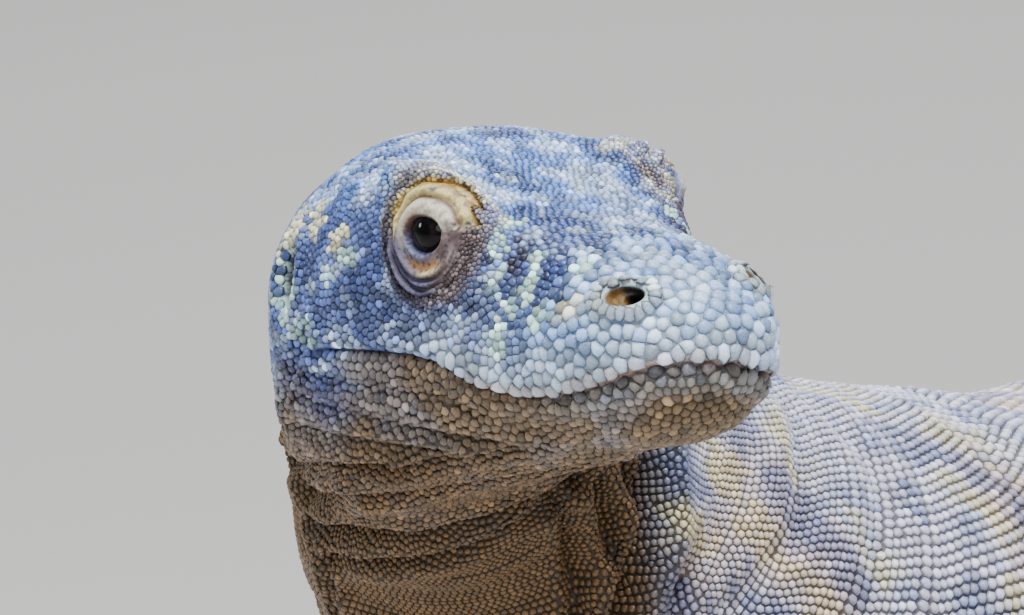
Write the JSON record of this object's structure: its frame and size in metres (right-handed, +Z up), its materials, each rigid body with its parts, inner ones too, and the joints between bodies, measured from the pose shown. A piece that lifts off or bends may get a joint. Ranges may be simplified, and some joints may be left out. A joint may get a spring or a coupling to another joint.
{
  "type": "komodo dragon",
  "caption": "Life-size standing komodo dragon with its head raised and turned to its left, on clawed feet with its tail resting on the floor.",
  "frame": {"origin": "middle of the bounding box, on the floor", "axes": "+X forward along the trunk, +Y to the animal's left, +Z up"},
  "size_m": [2.1618, 0.5972, 0.4966],
  "materials": {
    "head_skin": "dry blue-grey scales",
    "neck_skin": "dry grey-brown beaded scales",
    "body_skin": "dry grey beaded scales",
    "limb_skin": "dry dark grey scales",
    "claw": "worn dark horn",
    "eye": "wet, near black with a brown iris"
  },
  "bodies": {
    "root": {"belly": "body_skin", "chest": "body_skin", "claw_fore_left_1": "claw", "claw_fore_left_2": "claw", "claw_fore_left_3": "claw", "claw_fore_left_4": "claw", "claw_fore_left_5": "claw", "claw_fore_right_1": "claw", "claw_fore_right_2": "claw", "claw_fore_right_3": "claw", "claw_fore_right_4": "claw", "claw_fore_right_5": "claw", "claw_hind_left_1": "claw", "claw_hind_left_2": "claw", "claw_hind_left_3": "claw", "claw_hind_left_4": "claw", "claw_hind_left_5": "claw", "claw_hind_right_1": "claw", "claw_hind_right_2": "claw", "claw_hind_right_3": "claw", "claw_hind_right_4": "claw", "claw_hind_right_5": "claw", "eye_left": "eye", "eye_right": "eye", "foot_fore_left": "limb_skin", "foot_fore_right": "limb_skin", "foot_hind_left": "limb_skin", "foot_hind_right": "limb_skin", "forearm_left": "limb_skin", "forearm_right": "limb_skin", "head": "head_skin", "lower_jaw": "head_skin", "neck_lower": "neck_skin", "neck_upper": "neck_skin", "pelvis": "body_skin", "shank_left": "limb_skin", "shank_right": "limb_skin", "tail_1": "body_skin", "tail_2": "body_skin", "tail_3": "body_skin", "tail_4": "body_skin", "thigh_left": "limb_skin", "thigh_right": "limb_skin", "upper_arm_left": "limb_skin", "upper_arm_right": "limb_skin"}
  },
  "joints": []
}
